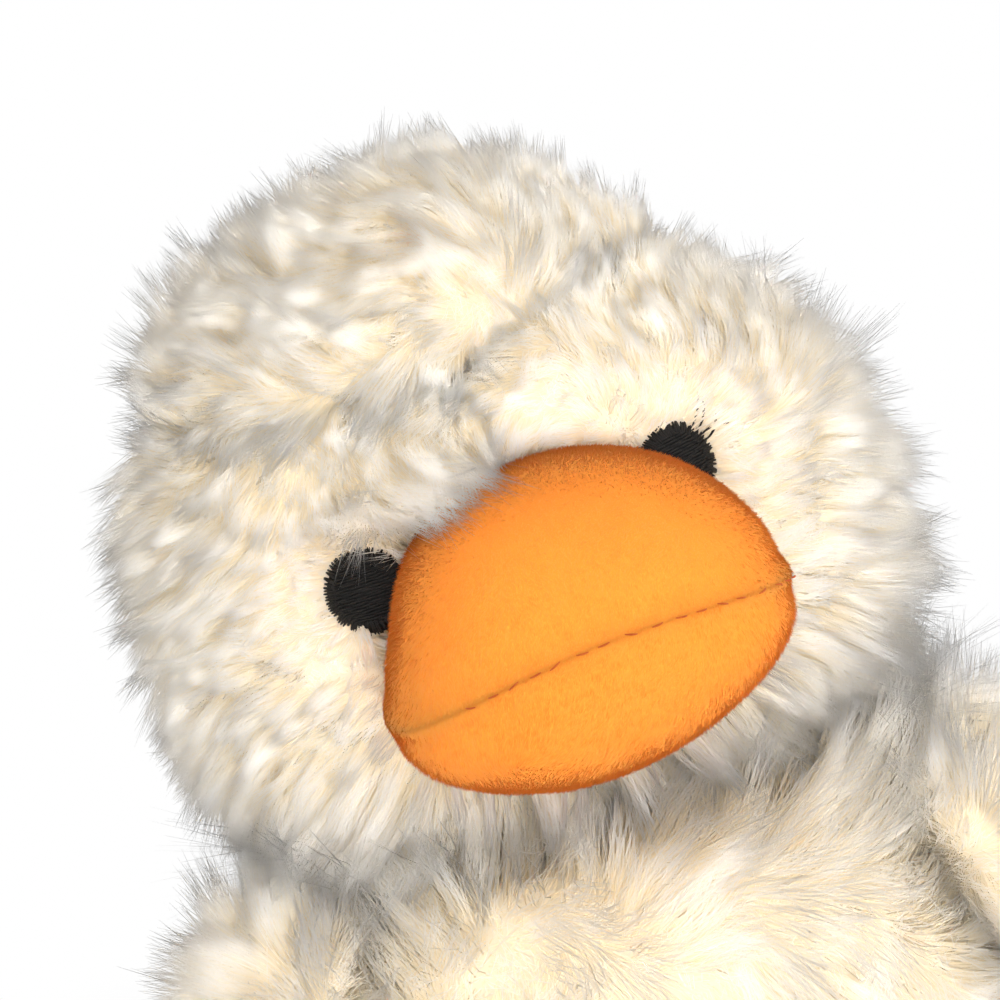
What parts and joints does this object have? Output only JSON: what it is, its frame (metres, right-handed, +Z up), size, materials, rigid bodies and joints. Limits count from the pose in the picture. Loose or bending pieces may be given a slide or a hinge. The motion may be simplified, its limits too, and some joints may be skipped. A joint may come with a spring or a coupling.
{
  "type": "plush duckling dog toy",
  "caption": "Sitting plush duckling dog toy of cream long-pile fabric with a stuffed orange bill, embroidered eyes, floppy wings, webbed feet and a squeaker inside.",
  "frame": {"origin": "middle of the flat seat that the duckling sits on", "axes": "+Z up through the body, -Y the way the bill faces, +X the duckling's left"},
  "size_m": [0.177, 0.1603, 0.2113],
  "materials": {
    "cream_pile": "long soft pile, cream with yellower roots",
    "orange_pile": "short brushed pile",
    "black_thread": "satin-stitch embroidery",
    "cream_thread": "twisted sewing thread",
    "fibre_stuffing": "loose polyester fibre",
    "milky_plastic": "blown milky polyethylene"
  },
  "bodies": {
    "torso": {"belly_panel": "cream_pile", "left_back_panel": "cream_pile", "right_back_panel": "cream_pile", "seat_panel": "cream_pile", "front_body_stuffing": "fibre_stuffing", "rear_body_stuffing": "fibre_stuffing", "squeaker_bladder": "milky_plastic", "squeaker_whistle": "milky_plastic", "squeaker_reed": "milky_plastic", "tail_upper_panel": "cream_pile", "tail_lower_panel": "cream_pile", "tail_stuffing": "fibre_stuffing"},
    "neck": {"neck_panel": "cream_pile", "neck_stuffing": "fibre_stuffing"},
    "neck_seam": {"neck_thread": "cream_thread"},
    "head": {"crown_panel": "cream_pile", "left_cheek_panel": "cream_pile", "right_cheek_panel": "cream_pile", "nape_panel": "cream_pile", "head_stuffing": "fibre_stuffing", "left_eye": "black_thread", "right_eye": "black_thread", "bill_upper_panel": "orange_pile", "bill_lower_panel": "orange_pile", "bill_stuffing": "fibre_stuffing"},
    "left_wing": {"left_wing_outer_panel": "cream_pile", "left_wing_inner_panel": "cream_pile", "left_wing_stuffing": "fibre_stuffing"},
    "right_wing": {"right_wing_outer_panel": "cream_pile", "right_wing_inner_panel": "cream_pile", "right_wing_stuffing": "fibre_stuffing"},
    "left_foot": {"left_foot_top_panel": "orange_pile", "left_foot_sole_panel": "orange_pile", "left_foot_stuffing": "fibre_stuffing"},
    "right_foot": {"right_foot_top_panel": "orange_pile", "right_foot_sole_panel": "orange_pile", "right_foot_stuffing": "fibre_stuffing"}
  },
  "joints": [
    {"name": "neck_nod", "type": "hinge", "parent": "torso", "child": "neck", "pos_m": [0, 0, 0.118], "axis": [1, 0, 0], "range_deg": [-9, 9], "stiffness_Nm_per_rad": 0.3},
    {"name": "neck_turn", "type": "hinge", "parent": "neck", "child": "neck_seam", "pos_m": [0, 0, 0.118], "axis": [0, 0, 1], "range_deg": [-25, 25], "stiffness_Nm_per_rad": 0.15},
    {"name": "head_tilt", "type": "hinge", "parent": "neck_seam", "child": "head", "pos_m": [0, 0, 0.118], "axis": [0, 1, 0], "range_deg": [-4, 18], "stiffness_Nm_per_rad": 0.3},
    {"name": "left_wing_lift", "type": "hinge", "parent": "torso", "child": "left_wing", "pos_m": [0.05078, -0.018, 0.103], "axis": [0, -1, 0], "range_deg": [-12, 35], "stiffness_Nm_per_rad": 0.06},
    {"name": "right_wing_lift", "type": "hinge", "parent": "torso", "child": "right_wing", "pos_m": [-0.05078, -0.018, 0.103], "axis": [0, 1, 0], "range_deg": [-12, 35], "stiffness_Nm_per_rad": 0.06},
    {"name": "left_foot_lift", "type": "hinge", "parent": "torso", "child": "left_foot", "pos_m": [0.024, -0.04092, 0.0078], "axis": [-0.9781, -0.2079, 0], "range_deg": [0, 45], "stiffness_Nm_per_rad": 0.04},
    {"name": "right_foot_lift", "type": "hinge", "parent": "torso", "child": "right_foot", "pos_m": [-0.024, -0.04092, 0.0078], "axis": [-0.9781, 0.2079, 0], "range_deg": [0, 45], "stiffness_Nm_per_rad": 0.04}
  ]
}
